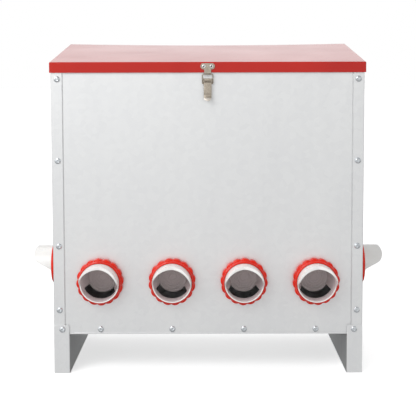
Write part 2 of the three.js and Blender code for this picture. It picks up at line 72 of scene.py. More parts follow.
cameraSetup = {  # metres, millimetres of lens, degrees
    "distance": 1.703,
    "sideways": 0.0006,
    "height": 0.5187,
    "lens": 85.44,
    "pitch": 4.228,
    "roll": 0.124,
    "shift": -0.14,
}

cameraData = bpy.data.cameras.new("studioCamera")
cameraData.lens = cameraSetup["lens"]
cameraData.sensor_width = 36
cameraData.shift_y = cameraSetup["shift"]
cameraData.clip_end = 100
camera = bpy.data.objects.new("studioCamera", cameraData)
camera.location = (cameraSetup["sideways"], faceFront - cameraSetup["distance"], cameraSetup["height"])
camera.rotation_euler = (math.radians(90 - cameraSetup["pitch"]), math.radians(cameraSetup["roll"]), 0)
bpy.context.collection.objects.link(camera)
bpy.context.scene.camera = camera
bpy.context.scene.view_settings.view_transform = "Standard"

studioLights = {
    "keyLeft": {"place": (-1.3, -1.9, 1.9), "size": 1.3, "power": 30},
    "overhead": {"place": (0, 0.6, 2.6), "size": 2.6, "power": 8},
}
for lightName, light in studioLights.items():
    lightData = bpy.data.lights.new(lightName, "AREA")
    lightData.size = light["size"]
    lightData.energy = light["power"]
    lamp = bpy.data.objects.new(lightName, lightData)
    lamp.location = light["place"]
    aim = Vector((0, 0, 0.3)) - lamp.location
    lamp.rotation_euler = aim.to_track_quat("-Z", "Y").to_euler()
    bpy.context.collection.objects.link(lamp)

# The studio round the object: white behind it, brighter to the left in front and a little greyer to the
# right, dimmer high up and dim below.
studio = {
    "above": 1.0,
    "front": 0.98,
    "frontLeft": 0.32,
    "frontRight": -0.1,
    "belowFront": 0.64,
    "belowBack": 0.09,
    "zenith": 0.52,
}


def makeStudioWorld():
    world = bpy.data.worlds.new("studio")
    world.use_nodes = True
    tree = world.node_tree
    direction = addNode(tree, "ShaderNodeTexCoord").outputs["Generated"]
    right, back, up = addNode(tree, "ShaderNodeSeparateXYZ", _0=direction).outputs
    soft = {"interpolation_type": "SMOOTHSTEP"}
    leftEnd, rightEnd = studio["front"] + studio["frontLeft"], studio["front"] + studio["frontRight"]
    front = addNode(tree, "ShaderNodeMapRange", soft, _0=right, _1=-0.7, _2=0.7, _3=leftEnd, _4=rightEnd)
    upper = addNode(
        tree, "ShaderNodeMapRange", soft, _0=back, _1=-0.5, _2=0.1, _3=front.outputs[0], _4=studio["above"]
    )
    lower = addNode(
        tree,
        "ShaderNodeMapRange",
        soft,
        _0=back,
        _1=-0.5,
        _2=0.2,
        _3=studio["belowFront"],
        _4=studio["belowBack"],
    )
    overhead = addNode(
        tree, "ShaderNodeMapRange", soft, _0=up, _1=0.25, _2=0.7, _3=upper.outputs[0], _4=studio["zenith"]
    )
    below, above = lower.outputs[0], overhead.outputs[0]
    glow = addNode(tree, "ShaderNodeMapRange", soft, _0=up, _1=-0.16, _2=-0.01, _3=below, _4=above)
    tree.links.new(glow.outputs[0], tree.nodes["Background"].inputs["Strength"])
    tree.nodes["Background"].inputs["Color"].default_value = (1, 1, 1, 1)
    bpy.context.scene.world = world


makeStudioWorld()
print("camera and light placed")


def newMaterial(name, surface):
    material = bpy.data.materials.new(name)
    material.use_nodes = True
    shader = material.node_tree.nodes["Principled BSDF"]
    for socket, value in surface.items():
        shader.inputs[socket].default_value = value
    return material, material.node_tree, shader


# Hot-dip galvanised sheet, left as rolled: a soft, pale metal with a very faint spangle of zinc crystals,
# long drain marks down the sheet, and a slow wave that keeps a big panel from looking like glass.
galvanisedLook = {  # patterns in mm
    "light": "#EDEEEE",
    "dark": "#E2E3E4",
    "spangle": 9,
    "drain": 45,
    "drainStretch": 14,
    "cloud": 160,
    "wave": 140,
    "waveHeight": 0.5,
    "grain": 1.6,
    "grainHeight": 0.02,
}


def makeGalvanised():
    look = galvanisedLook
    material, tree, shader = newMaterial("galvanisedSteel", {"Metallic": 0.86, "Roughness": 0.42})
    place = addNode(tree, "ShaderNodeTexCoord").outputs["Object"]
    spangle = addNode(tree, "ShaderNodeTexVoronoi", Vector=place, Scale=1 / (look["spangle"] * mm))
    crystal = addNode(tree, "ShaderNodeSeparateColor", Color=spangle.outputs["Color"]).outputs[0]
    across = 1 / (look["drain"] * mm)
    down = across / look["drainStretch"]
    hanging = addNode(tree, "ShaderNodeMapping", Vector=place, Scale=(across, across, down)).outputs["Vector"]
    drain = addNode(tree, "ShaderNodeTexNoise", Vector=hanging, Scale=1.0, Detail=3.0).outputs[0]
    cloudScale = 1 / (look["cloud"] * mm)
    cloud = addNode(tree, "ShaderNodeTexNoise", Vector=place, Scale=cloudScale, Detail=3.0).outputs[0]
    streaky = addNode(tree, "ShaderNodeMix", _0=0.5, _2=drain, _3=cloud).outputs[0]
    tone = addNode(tree, "ShaderNodeMix", _0=0.16, _2=streaky, _3=crystal).outputs[0]
    shade = addNode(tree, "ShaderNodeMapRange", _0=tone, _1=0.25, _2=0.75, _3=0.0, _4=1.0).outputs[0]
    ends = {"_6": linear(look["light"]), "_7": linear(look["dark"])}
    colour = addNode(tree, "ShaderNodeMix", {"data_type": "RGBA"}, _0=shade, **ends).outputs[2]
    tree.links.new(colour, shader.inputs["Base Color"])
    ranged = addNode(tree, "ShaderNodeMapRange", _0=tone, _1=0.2, _2=0.8, _3=0.36, _4=0.50).outputs[0]
    tree.links.new(ranged, shader.inputs["Roughness"])
    waveScale, grainScale = 1 / (look["wave"] * mm), 1 / (look["grain"] * mm)
    wave = addNode(tree, "ShaderNodeTexNoise", Vector=place, Scale=waveScale, Detail=1.0).outputs[0]
    grain = addNode(tree, "ShaderNodeTexNoise", Vector=place, Scale=grainScale, Detail=2.0).outputs[0]
    slow = addNode(tree, "ShaderNodeBump", Height=wave, Distance=look["waveHeight"] * mm, Strength=1.0)
    fine = addNode(
        tree,
        "ShaderNodeBump",
        Height=grain,
        Distance=look["grainHeight"] * mm,
        Strength=0.5,
        Normal=slow.outputs["Normal"],
    )
    tree.links.new(fine.outputs["Normal"], shader.inputs["Normal"])
    return material


# Baked powder-coat on the lid: a hard gloss skin over steel, with a fine orange peel that softens
# reflections.
powderLook = {"light": "#BE1907", "dark": "#B11306", "peel": 2.4, "peelHeight": 0.02, "cloud": 120}
powderSurface = {
    "Roughness": 0.2,
    "IOR": 1.32,
    "Coat Weight": 0.62,
    "Coat Roughness": 0.08,
    "Coat IOR": 1.33,
}


def makePowderCoat():
    look = powderLook
    material, tree, shader = newMaterial("redPowderCoat", powderSurface)
    place = addNode(tree, "ShaderNodeTexCoord").outputs["Object"]
    cloudScale, peelScale = 1 / (look["cloud"] * mm), 1 / (look["peel"] * mm)
    cloud = addNode(tree, "ShaderNodeTexNoise", Vector=place, Scale=cloudScale, Detail=2.0).outputs[0]
    shade = addNode(tree, "ShaderNodeMapRange", _0=cloud, _1=0.3, _2=0.7, _3=0, _4=1).outputs[0]
    ends = {"_6": linear(look["light"]), "_7": linear(look["dark"])}
    colour = addNode(tree, "ShaderNodeMix", {"data_type": "RGBA"}, _0=shade, **ends).outputs[2]
    tree.links.new(colour, shader.inputs["Base Color"])
    ranged = addNode(tree, "ShaderNodeMapRange", _0=cloud, _1=0.3, _2=0.7, _3=0.16, _4=0.24).outputs[0]
    tree.links.new(ranged, shader.inputs["Roughness"])
    peel = addNode(tree, "ShaderNodeTexNoise", Vector=place, Scale=peelScale, Detail=1.0).outputs[0]
    bump = addNode(tree, "ShaderNodeBump", Height=peel, Distance=look["peelHeight"] * mm, Strength=0.3)
    tree.links.new(bump.outputs["Normal"], shader.inputs["Normal"])
    return material


# Injection-moulded polypropylene and PVC: smooth, a little waxy, with slight flow marks and light passing in.
mouldedLook = {"flow": 14, "scatter": 2, "texture": 1.1, "textureHeight": 0.015}


def makeMoulded(name, light, dark, roughness, index, scatter, scatterTint, shadedEnd=None):
    surface = {
        "Roughness": roughness,
        "IOR": index,
        "Subsurface Weight": scatter,
        "Subsurface Radius": scatterTint,
        "Subsurface Scale": mouldedLook["scatter"] * mm,
    }
    material, tree, shader = newMaterial(name, surface)
    place = addNode(tree, "ShaderNodeTexCoord").outputs["Object"]
    flowScale, textureScale = 1 / (mouldedLook["flow"] * mm), 1 / (mouldedLook["texture"] * mm)
    flow = addNode(tree, "ShaderNodeTexNoise", Vector=place, Scale=flowScale, Detail=3.0).outputs[0]
    shade = addNode(tree, "ShaderNodeMapRange", _0=flow, _1=0.3, _2=0.7, _3=0, _4=1).outputs[0]
    ends = {"_6": linear(light), "_7": linear(dark)}
    colour = addNode(tree, "ShaderNodeMix", {"data_type": "RGBA"}, _0=shade, **ends).outputs[2]
    # Painted shade: the inside greys towards this colour where the tube closes, following the depth mask.
    if shadedEnd:  # the colour where the tube closes
        depth = addNode(tree, "ShaderNodeAttribute", {"attribute_name": "depth"}).outputs["Fac"]
        ends = {"_6": colour, "_7": linear(shadedEnd)}
        colour = addNode(tree, "ShaderNodeMix", {"data_type": "RGBA"}, _0=depth, **ends).outputs[2]
    tree.links.new(colour, shader.inputs["Base Color"])
    smooth, dull = roughness - 0.05, roughness + 0.07
    ranged = addNode(tree, "ShaderNodeMapRange", _0=flow, _1=0.3, _2=0.7, _3=smooth, _4=dull).outputs[0]
    tree.links.new(ranged, shader.inputs["Roughness"])
    texture = addNode(tree, "ShaderNodeTexNoise", Vector=place, Scale=textureScale, Detail=1.0).outputs[0]
    height = mouldedLook["textureHeight"] * mm
    bump = addNode(tree, "ShaderNodeBump", Height=texture, Distance=height, Strength=0.5)
    tree.links.new(bump.outputs["Normal"], shader.inputs["Normal"])
    return material


# Zinc-plated or nickel-plated steel: a bright thin plate over pressed metal, duller in the hollows of
# its grain, which runs up and down.
def makePlated(name, light, dark, roughness, grain):
    material, tree, shader = newMaterial(name, {"Metallic": 1.0, "Roughness": roughness})
    place = addNode(tree, "ShaderNodeTexCoord").outputs["Object"]
    grainScale = (1 / (grain * mm), 1 / (grain * mm), 1 / (6 * grain * mm))
    upright = addNode(tree, "ShaderNodeMapping", Vector=place, Scale=grainScale).outputs["Vector"]
    brushed = addNode(tree, "ShaderNodeTexNoise", Vector=upright, Scale=1.0, Detail=3.0).outputs[0]
    shade = addNode(tree, "ShaderNodeMapRange", _0=brushed, _1=0.3, _2=0.7, _3=0, _4=1).outputs[0]
    ends = {"_6": linear(light), "_7": linear(dark)}
    colour = addNode(tree, "ShaderNodeMix", {"data_type": "RGBA"}, _0=shade, **ends).outputs[2]
    tree.links.new(colour, shader.inputs["Base Color"])
    smooth, dull = roughness - 0.07, roughness + 0.1
    ranged = addNode(tree, "ShaderNodeMapRange", _0=brushed, _1=0.3, _2=0.7, _3=smooth, _4=dull).outputs[0]
    tree.links.new(ranged, shader.inputs["Roughness"])
    bump = addNode(tree, "ShaderNodeBump", Height=brushed, Distance=0.02 * mm, Strength=0.5)
    tree.links.new(bump.outputs["Normal"], shader.inputs["Normal"])
    return material


# The white paper that the object stands on, with its fibre only just there.
def makeFloor():
    surface = {"Roughness": 0.9, "Emission Color": (1, 1, 1, 1), "Emission Strength": 0.5}
    material, tree, shader = newMaterial("paperFloor", surface)
    place = addNode(tree, "ShaderNodeTexCoord").outputs["Object"]
    fibre = addNode(tree, "ShaderNodeTexNoise", Vector=place, Scale=30.0).outputs[0]
    ends = {"_6": linear("#FAFAFA"), "_7": linear("#F6F6F6")}
    colour = addNode(tree, "ShaderNodeMix", {"data_type": "RGBA"}, _0=fibre, **ends).outputs[2]
    tree.links.new(colour, shader.inputs["Base Color"])
    return material


galvanised = makeGalvanised()
powderCoat = makePowderCoat()
whitePvc = makeMoulded("whitePvc", "#F6F5F3", "#EFEEEB", 0.3, 1.5, 0.06, (1.0, 0.9, 0.8))
# The inside of the tube: the same PVC, a little duller, with a painted pink cast for red light bounced off
# the nut and painted shade that greys it towards the closed end.
insidePaintedShadePvc = makeMoulded("insidePaintedShadePvc", "#FAEDED", "#F2E2E3", 0.45, 1.45, 0.04, (1.0, 0.9, 0.8), "#D3CBCA")
redPolypropylene = makeMoulded("redPolypropylene", "#E4280B", "#D61F07", 0.38, 1.36, 0.02, (1.0, 0.2, 0.1))
zincPlate = makePlated("zincPlatedSteel", "#E0E4E7", "#C0C5C9", 0.26, 1.2)
nickelPlate = makePlated("nickelPlatedSteel", "#BDB3A4", "#A2978A", 0.28, 0.9)
paleTipNickel = makePlated("paleTipNickel", "#E6DFD6", "#CFC6BA", 0.3, 0.9)  # paler on the lever's curled tip
# Steel with no plate on it, dark and dull: painted shade, coloured near-black to stand for the shade down in
# each rivet's hollow.
hollowShadeSteel = makePlated("hollowShadeSteel", "#372F2A", "#201C19", 0.6, 0.9)
# Soft aluminium, bright where the head was pressed.
rivetAluminium = makePlated("rivetAluminium", "#F4F5F5", "#E6E7E8", 0.3, 1.2)
print("materials made")


def meshObject(name, mesh, *materials):
    piece = bpy.data.objects.new(name, mesh)
    bpy.context.collection.objects.link(piece)
    chosen = [face.material_index for face in mesh.polygons]
    mesh.materials.clear()
    for material in materials:
        mesh.materials.append(material)
    if len(materials) > 1:
        mesh.polygons.foreach_set("material_index", chosen)
    return piece


def meshFrom(name, points, faces):
    mesh = bpy.data.meshes.new(name)
    mesh.from_pydata([tuple(p) for p in points], [], faces)
    mesh.validate()
    return mesh


def addModifier(piece, kind, settings):
    modifier = piece.modifiers.new(kind.title(), kind)
    for name, value in settings.items():
        setattr(modifier, name, value)
    return modifier


def bakeModifiers(piece):
    evaluated = piece.evaluated_get(bpy.context.evaluated_depsgraph_get())
    mesh = bpy.data.meshes.new_from_object(evaluated)
    piece.modifiers.clear()
    piece.data = mesh
    return piece


def bevelEdges(piece, width, segments=2, angle=35):
    settings = {
        "width": width,
        "segments": segments,
        "limit_method": "ANGLE",
        "angle_limit": math.radians(angle),
        "harden_normals": False,
    }
    addModifier(piece, "BEVEL", settings)
    return bakeModifiers(piece)


def thickenInwards(piece, gauge):
    addModifier(piece, "SOLIDIFY", {"thickness": gauge * mm, "offset": -1, "use_even_offset": True})
    return bakeModifiers(piece)


def turnOutwards(mesh, weld=0.0):  # welds points closer than that, then turns every face outwards
    shape = bmesh.new()
    shape.from_mesh(mesh)
    if weld:
        bmesh.ops.remove_doubles(shape, verts=shape.verts, dist=weld)
    bmesh.ops.recalc_face_normals(shape, faces=shape.faces)
    shape.to_mesh(mesh)
    shape.free()
    return mesh


def smoothShade(piece, angle=35):
    piece.data.shade_smooth()
    piece.data.set_sharp_from_angle(angle=math.radians(angle))
    addModifier(piece, "WEIGHTED_NORMAL", {"keep_sharp": True, "mode": "FACE_AREA"})
    return bakeModifiers(piece)


def gridFaces(rows, columns, start=0, closed=False):
    faces = []
    for row in range(rows - 1):
        for column in range(columns if closed else columns - 1):
            here = start + row * columns
            after = (column + 1) % columns
            faces.append((here + column, here + after, here + columns + after, here + columns + column))
    return faces


def roundedPath(corners, steps=5):  # corners are (a, b, radius); each bend becomes an arc
    path = []
    for i, (a, b, radius) in enumerate(corners):
        point = Vector((a, b))
        if radius == 0 or i in (0, len(corners) - 1):
            path.append(point)
            continue
        back = (Vector(corners[i - 1][:2]) - point).normalized()
        ahead = (Vector(corners[i + 1][:2]) - point).normalized()
        half = back.angle(ahead) / 2
        centre = point + (back + ahead).normalized() * (radius / math.sin(half))
        start = point + back * (radius / math.tan(half)) - centre
        end = point + ahead * (radius / math.tan(half)) - centre
        for step in range(steps + 1):
            turn = start.lerp(end, step / steps).normalized() * radius
            path.append(centre + turn)
    return path


def faceOutwards(mesh, outward):  # turns every face over if the first one looks the wrong way
    if mesh.polygons[0].normal.dot(Vector(outward)) < 0:
        mesh.flip_normals()


def ringCutter(name, centre, axis, radius, length, segments=64):
    mesh = bpy.data.meshes.new(name)
    shape = bmesh.new()
    bmesh.ops.create_cone(
        shape, cap_ends=True, segments=segments, radius1=radius, radius2=radius, depth=length
    )
    turn = Vector((0, 0, 1)).rotation_difference(Vector(axis)).to_matrix().to_4x4()
    bmesh.ops.transform(shape, matrix=Matrix.Translation(centre) @ turn, verts=shape.verts)
    shape.to_mesh(mesh)
    shape.free()
    return meshObject(name, mesh, galvanised)


def cutAway(piece, cutters):
    for cutter in cutters:
        addModifier(piece, "BOOLEAN", {"operation": "DIFFERENCE", "object": cutter, "solver": "EXACT"})
    bakeModifiers(piece)
    for cutter in cutters:
        bpy.data.objects.remove(cutter)
    return piece


def finishPiece(piece, body, slot, nodes=()):
    smoothShade(piece)
    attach(piece, body)
    if nodes:
        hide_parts(*nodes)
    return piece


def refineNode(name, body, slot, material, width):  # a CAD piece again, welded and with its edges broken
    mesh = allNodes[name].data.copy()
    shape = bmesh.new()
    shape.from_mesh(mesh)
    bmesh.ops.remove_doubles(shape, verts=shape.verts, dist=0.01 * mm)
    bmesh.ops.dissolve_limit(shape, angle_limit=math.radians(1), verts=shape.verts, edges=shape.edges)
    shape.to_mesh(mesh)
    shape.free()
    piece = meshObject(name + "_finished", mesh, material)
    bevelEdges(piece, width, 2, 30)
    return finishPiece(piece, body, slot, [name])


def boxCentre(name):
    low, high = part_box(name)
    return (low + high) / 2


portNodes = [f"front_port_{i + 1}" for i in range(4)] + ["right_port", "left_port"]
portHeight = boxCentre("front_port_2_nut").z


sheetLook = {
    "gauge": 1.0,
    "bend": 1.6,
    "rim": 12,
    "hem": 3.2,
    "groove": 0.5,
    "gap": 0.9,  # depth of the shadow line beside a side fold
    "fold": 19,
    "holeRadius": 35.3,
    "edge": 0.2,
    "panEdge": 0.25,
}


def foldedSheet(name, path, across, outward, place):
    points = [place(point, step) for step in across for point in path]
    mesh = meshFrom(name, points, gridFaces(len(across), len(path)))
    faceOutwards(mesh, outward)
    piece = meshObject(name, mesh, galvanised)
    return thickenInwards(piece, sheetLook["gauge"])


def makeEndSheet(name, node, face, inward, withPorts):
    low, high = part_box(node)
    top, bottom = high.z, low.z
    rim, hem, groove = (sheetLook[key] * mm for key in ("rim", "hem", "groove"))
    inside, bed = face + inward * rim, face + inward * groove
    path = roundedPath(
        [
            (inside, top, 0),
            (face, top, sheetLook["bend"] * mm),
            (face, bottom + hem + 0.6 * mm, 0),
            (bed, bottom + hem + 0.2 * mm, 0),
            (bed, bottom + hem - 0.2 * mm, 0),
            (face, bottom + hem - 0.6 * mm, 0),
            (face, bottom, 0),
        ]
    )
    gap = faceSide - sheetLook["fold"] * mm
    gapEdges = [gap - 1.5 * mm, gap - 1.2 * mm, gap + 0.4 * mm, gap + 0.7 * mm]
    rightHalf = [panelEdge / 2] + gapEdges + [panelEdge]
    across = [-x for x in reversed(rightHalf)] + [0] + rightHalf

    def place(point, x):  # the sheet dips a little beside each side fold, which leaves a shadow line
        dip = sheetLook["gap"] * mm if abs(x) in gapEdges[1:3] else 0
        return (x, point.x + inward * dip, point.y)

    piece = foldedSheet(name, path, across, (0, 0, 1), place)
    if withPorts:
        holes = []
        for port in portNodes[:4]:
            centre = Vector((boxCentre(port + "_nut").x, face, portHeight))
            holes.append(ringCutter("hole", centre, (0, 1, 0), sheetLook["holeRadius"] * mm, 12 * mm))
        cutAway(piece, holes)
    bevelEdges(piece, sheetLook["edge"] * mm)
    return finishPiece(piece, "hopper", "galvanised_steel", [node])


def makeSideSheet(side, sign):
    node = side + "_side_panel"
    low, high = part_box(node)
    fold, bend = sheetLook["fold"] * mm, sheetLook["bend"] * mm
    edge = sign * faceSide
    path = roundedPath(
        [
            (edge - sign * fold, low.y, 0),
            (edge, low.y, bend),
            (edge, high.y, bend),
            (edge - sign * fold, high.y, 0),
        ]
    )
    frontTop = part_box("front_panel")[1].z
    rise = (high.z - frontTop) / (high.y - low.y)

    def place(point, share):
        top = frontTop + rise * (point.y - low.y)
        return (point.x, point.y, low.z + share * (top - low.z))

    piece = foldedSheet(node + "_sheet", path, (0, 0.25, 0.5, 0.75, 1), (0, -1, 0), place)
    port = boxCentre(side + "_port_nut")
    centre = Vector((edge, port.y, port.z))
    cutAway(piece, [ringCutter("hole", centre, (1, 0, 0), sheetLook["holeRadius"] * mm, 12 * mm)])
    rimMesh = meshFrom(
        "rim",
        [
            (edge - sign * x * mm, y, frontTop + rise * (y - low.y) - z * mm)
            for y in (low.y + 3 * mm, high.y - 3 * mm)
            for x, z in ((12, 0), (0.4, 0), (0.4, 1), (12, 1))
        ],
        [(0, 1, 5, 4), (1, 2, 6, 5), (2, 3, 7, 6), (3, 0, 4, 7), (3, 2, 1, 0), (4, 5, 6, 7)],
    )
    shape = bmesh.new()
    shape.from_mesh(piece.data)
    shape.from_mesh(rimMesh)
    bmesh.ops.recalc_face_normals(shape, faces=shape.faces)
    shape.to_mesh(piece.data)
    shape.free()
    bevelEdges(piece, sheetLook["edge"] * mm)
    return finishPiece(piece, "hopper", "galvanised_steel", [node])


makeEndSheet("front_sheet", "front_panel", faceFront, 1, True)
makeEndSheet("back_sheet", "back_panel", faceBack, -1, False)
for side, sign in (("left", -1), ("right", 1)):
    makeSideSheet(side, sign)
refineNode("bottom_pan", "hopper", "galvanised_steel", galvanised, sheetLook["panEdge"] * mm)
print("hopper sheets folded")


legLook = {"gauge": 1.2, "bend": 1.8, "cornerRadius": 3.5, "gap": 0.4, "edge": 0.25}


def makeLeg(side, sign):
    low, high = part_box(side + "_leg_stand")
    inner = low.x if sign > 0 else high.x
    outer = high.x if sign > 0 else low.x
    webTop = hopperFloor - legLook["gap"] * mm
    corner = legLook["cornerRadius"] * mm
    width = abs(outer - inner)
    ends = [corner * (1 - math.cos(math.radians(a))) for a in (0, 30, 60, 90)]
    insets = ends + [width / 2] + [width - end for end in reversed(ends)]
    flange = [outer - sign * inset for inset in insets[:-1]]
    path = [Vector((x, low.y)) for x in flange]
    bend = legLook["bend"] * mm
    path = path[:-3]
    bent = roundedPath([(outer, low.y, 0), (inner, low.y, bend), (inner, high.y, bend), (outer, high.y, 0)])
    path += bent[1:-1]
    path += [Vector((x, high.y)) for x in reversed(flange[:-3])]
    rows = [0, webTop / 2, webTop, (webTop + high.z) / 2, high.z]

    def topAt(point):  # rounds the flange's two upper corners
        reach = min(abs(point.x - outer), abs(point.x - inner) + 0.2 * mm)
        if reach >= corner:
            return high.z
        return high.z - corner + math.sqrt(max(0.0, corner**2 - (corner - reach) ** 2))

    points = []
    for row in rows:
        for point in path:
            points.append((point.x, point.y, row if row < high.z else topAt(point)))
    faces = []
    for face in gridFaces(len(rows), len(path)):
        middle = sum((Vector(points[i]) for i in face), Vector()) / 4
        onFlange = min(abs(middle.y - low.y), abs(middle.y - high.y)) < 0.9 * mm
        if middle.z < webTop or onFlange:
            faces.append(face)
    mesh = meshFrom(side + "_leg", points, faces)
    faceOutwards(mesh, (0, -1, 0))
    piece = meshObject(side + "_leg", mesh, galvanised)
    thickenInwards(piece, legLook["gauge"])
    bevelEdges(piece, legLook["edge"] * mm)
    return finishPiece(piece, "hopper", "galvanised_steel", [side + "_leg_stand"])


for side, sign in (("left", -1), ("right", 1)):
    makeLeg(side, sign)
print("leg stands folded")


lidLook = {"rise": 40, "sag": 3, "skirt": 18, "gauge": 1.0, "edge": 1.8, "across": 40, "along": 20}


def makeLid():
    low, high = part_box("lid")
    front = high.z - lidLook["rise"] * mm
    columns, rows = lidLook["across"] + 1, lidLook["along"] + 1

    def topAt(x, along):
        return front + lidLook["rise"] * mm * along - lidLook["sag"] * mm * (1 - (x / high.x) ** 2) * along**2

    points = []
    for j in range(rows):
        along = j / (rows - 1)
        for i in range(columns):
            x = low.x + (high.x - low.x) * i / (columns - 1)
            points.append((x, low.y + (high.y - low.y) * along, topAt(x, along)))
    faces = gridFaces(rows, columns)
    rim = list(range(columns)) + [j * columns + columns - 1 for j in range(1, rows)]
    rim += [(rows - 1) * columns + i for i in range(columns - 2, -1, -1)]
    rim += [j * columns for j in range(rows - 2, 0, -1)]
    start = len(points)
    for index in rim:
        x, y = points[index][:2]
        along = (y - low.y) / (high.y - low.y)
        points.append((x, y, front + lidLook["rise"] * mm * along - lidLook["skirt"] * mm))
    for i in range(len(rim)):
        after = (i + 1) % len(rim)
        faces.append((rim[i], start + i, start + after, rim[after]))
    mesh = meshFrom("lid_shell", points, faces)
    faceOutwards(mesh, (0, 0, 1))
    piece = meshObject("lid_shell", mesh, powderCoat)
    bevelEdges(piece, lidLook["edge"] * mm, 4, 50)
    thickenInwards(piece, lidLook["gauge"])
    return finishPiece(piece, "lid", "red_lid_paint", ["lid"])


makeLid()
print("lid pressed")


portLook = {
    "radius": 34.2,
    "wall": 1.9,
    "tail": 39,
    "tailRadius": 26.4,
    "shoulder": 4.6,
    "flange": 42,
    "lip": 21.4,  # how far the lower lip stands out of the panel
    "reach": 53.6,  # and the hood
    "brim": 3.2,  # how much the hood's edge thickens inwards at its top
    "turns": (-6, -5, 0, 1, 0, 0),  # degrees each tube was left turned in its hole
}
# The mouth from the side, by height over the axis: a flat lip, a soft corner, a slant, and a round hood.
mouthLook = {
    "cornerFrom": -8.5,
    "cornerTo": -4.5,
    "cornerRise": 3.8,
    "slantTo": 8,
    "slantReach": 48,
    "crownFrom": 22,
    "setBack": 5,
}
slotLook = {"half": 59, "near": 23.4, "far": 40, "from": -4.8, "to": -36.2}
nutLook = {
    "lobes": 16,
    "radius": 41,
    "lobeDepth": 2.4,
    "thick": 20.6,
    "bore": 34.7,
    "turns": (4, 9, -3, 6, 2, 8),
}


def hoodReach(height):  # how far the tube stands out of the panel at a height over its axis
    look = mouthLook
    corner = portLook["lip"] + look["cornerRise"]
    if height < look["cornerFrom"]:
        return portLook["lip"]
    if height < look["cornerTo"]:
        share = (height - look["cornerFrom"]) / (look["cornerTo"] - look["cornerFrom"])
        return portLook["lip"] + look["cornerRise"] * share**2
    if height < look["slantTo"]:
        share = (height - look["cornerTo"]) / (look["slantTo"] - look["cornerTo"])
        return corner + (look["slantReach"] - corner) * share
    if height < look["crownFrom"]:
        share = (height - look["slantTo"]) / (look["crownFrom"] - look["slantTo"])
        return look["slantReach"] + (portLook["reach"] - look["slantReach"]) * math.sin(math.pi / 2 * share)
    share = min(1.0, (height - look["crownFrom"]) / (portLook["radius"] - look["crownFrom"]))
    return portLook["reach"] - look["setBack"] * (1 - math.sqrt(max(0.0, 1 - share**2)))


def portMesh():
    outer = portLook["radius"]
    inner = outer - portLook["wall"]
    tail, tailRadius = portLook["tail"], portLook["tailRadius"]
    shoulder, flange = portLook["shoulder"], portLook["flange"]
    columns = 96
    before = [
        (0.01, -tail), (tailRadius - 1.2, -tail), (tailRadius, -tail + 1), (outer, -shoulder), (outer, -3.8),
        (flange - 0.4, -3.8), (flange, -3.4), (flange, -1.7), (flange - 0.4, -1.3), (outer, -1.3),
    ]
    rim = [(outer, -9), (outer, -0.5), (outer - 0.35, -0.12)]
    rim += [(outer - 1.15, 0), (inner + 0.35, -0.12), (inner, -0.5)]
    after = [(inner, -shoulder + 2), (24.2, -tail + 2.6), (23.7, -tail + 2.2)]
    for ring in (19.5, 15, 10.5, 6):  # turned rings on the closed end
        after += [(ring + 0.5, -tail + 2.2), (ring, -tail + 2.65), (ring - 0.5, -tail + 2.2)]
    after += [(0.01, -tail + 2.2)]
    points = []
    for kind, rows in (("fixed", before), ("rim", rim), ("fixed", after)):
        for radius, out in rows:
            for column in range(columns):
                angle = 2 * math.pi * column / columns
                height = math.sin(angle)
                onHood = kind == "rim" and radius < outer - 0.5
                reach = radius - portLook["brim"] * max(0.0, height) ** 1.5 if onHood else radius
                z = out + hoodReach(outer * height) if kind == "rim" else out
                points.append((reach * math.cos(angle) * mm, reach * height * mm, z * mm))
    rowCount = len(before) + len(rim) + len(after)
    mesh = meshFrom("port", points, gridFaces(rowCount, columns, closed=True))
    insideStart = (len(before) + len(rim) - 1) * columns
    for index, face in enumerate(mesh.polygons):
        face.material_index = 1 if index >= insideStart else 0
    turnOutwards(mesh, 0.05 * mm)
    piece = meshObject("port", mesh, whitePvc, insidePaintedShadePvc)
    cutAway(piece, [slotCutter()])
    shares = [0.35 - vertex.co.z / (tail * mm) for vertex in piece.data.vertices]
    # Painted shade: this depth mask greys the inside of the tube towards its closed end.
    depth = piece.data.attributes.new("depth", "FLOAT", "POINT")  # 0 at the mouth, 1 at the closed end
    depth.data.foreach_set("value", [min(1.0, max(0.0, share)) for share in shares])
    return piece


def slotCutter():  # the wedge of the narrowing wall through which feed runs in
    steps = 16
    points = []
    for out in (slotLook["from"], slotLook["to"]):
        for radius in (slotLook["near"], slotLook["far"]):
            for step in range(steps + 1):
                angle = math.radians(-90 - slotLook["half"] + 2 * slotLook["half"] * step / steps)
                points.append((radius * math.cos(angle) * mm, radius * math.sin(angle) * mm, out * mm))
    row = steps + 1
    nearTop, farTop, nearLow, farLow = 0, row, 2 * row, 3 * row
    faces = []
    for i in range(steps):
        faces.append((nearTop + i, nearTop + i + 1, farTop + i + 1, farTop + i))
        faces.append((nearLow + i, farLow + i, farLow + i + 1, nearLow + i + 1))
        faces.append((nearTop + i, nearLow + i, nearLow + i + 1, nearTop + i + 1))
        faces.append((farTop + i, farTop + i + 1, farLow + i + 1, farLow + i))
    for i in (0, steps):
        faces.append((nearTop + i, farTop + i, farLow + i, nearLow + i))
    return meshObject("slot", turnOutwards(meshFrom("slot", points, faces)), insidePaintedShadePvc)


